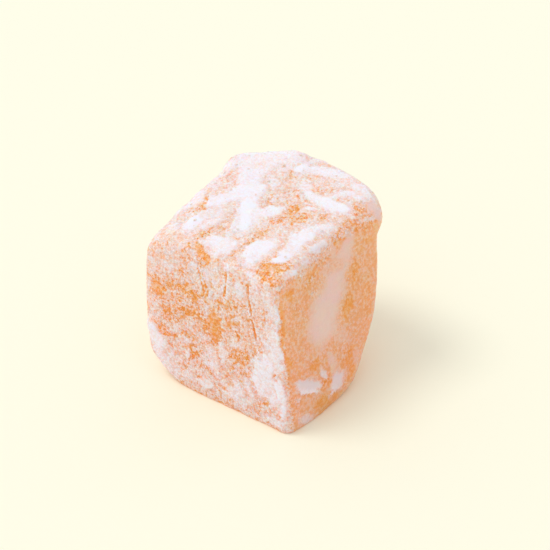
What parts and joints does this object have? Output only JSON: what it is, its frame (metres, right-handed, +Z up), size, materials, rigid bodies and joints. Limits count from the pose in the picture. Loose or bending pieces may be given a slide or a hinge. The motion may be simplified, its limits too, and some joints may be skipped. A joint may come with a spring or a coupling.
{
  "type": "turkish delight cube",
  "caption": "Hand-cut cube of orange starch jelly sweet, soft-edged and slightly leaning, dusted with icing sugar, resting on its flat foot.",
  "frame": {"origin": "on the resting plane, under the middle of the sweet's box", "axes": "+Z up; +Y towards the back, the longest side of the box; +X to the right, with the crisp upright edge between -Y and +X"},
  "size_m": [0.03, 0.0308, 0.0286],
  "materials": {
    "sugared_jelly": "soft orange starch jelly under a coat of icing sugar and cornflour"
  },
  "bodies": {
    "root": {"delight_cube": "sugared_jelly"}
  },
  "joints": []
}
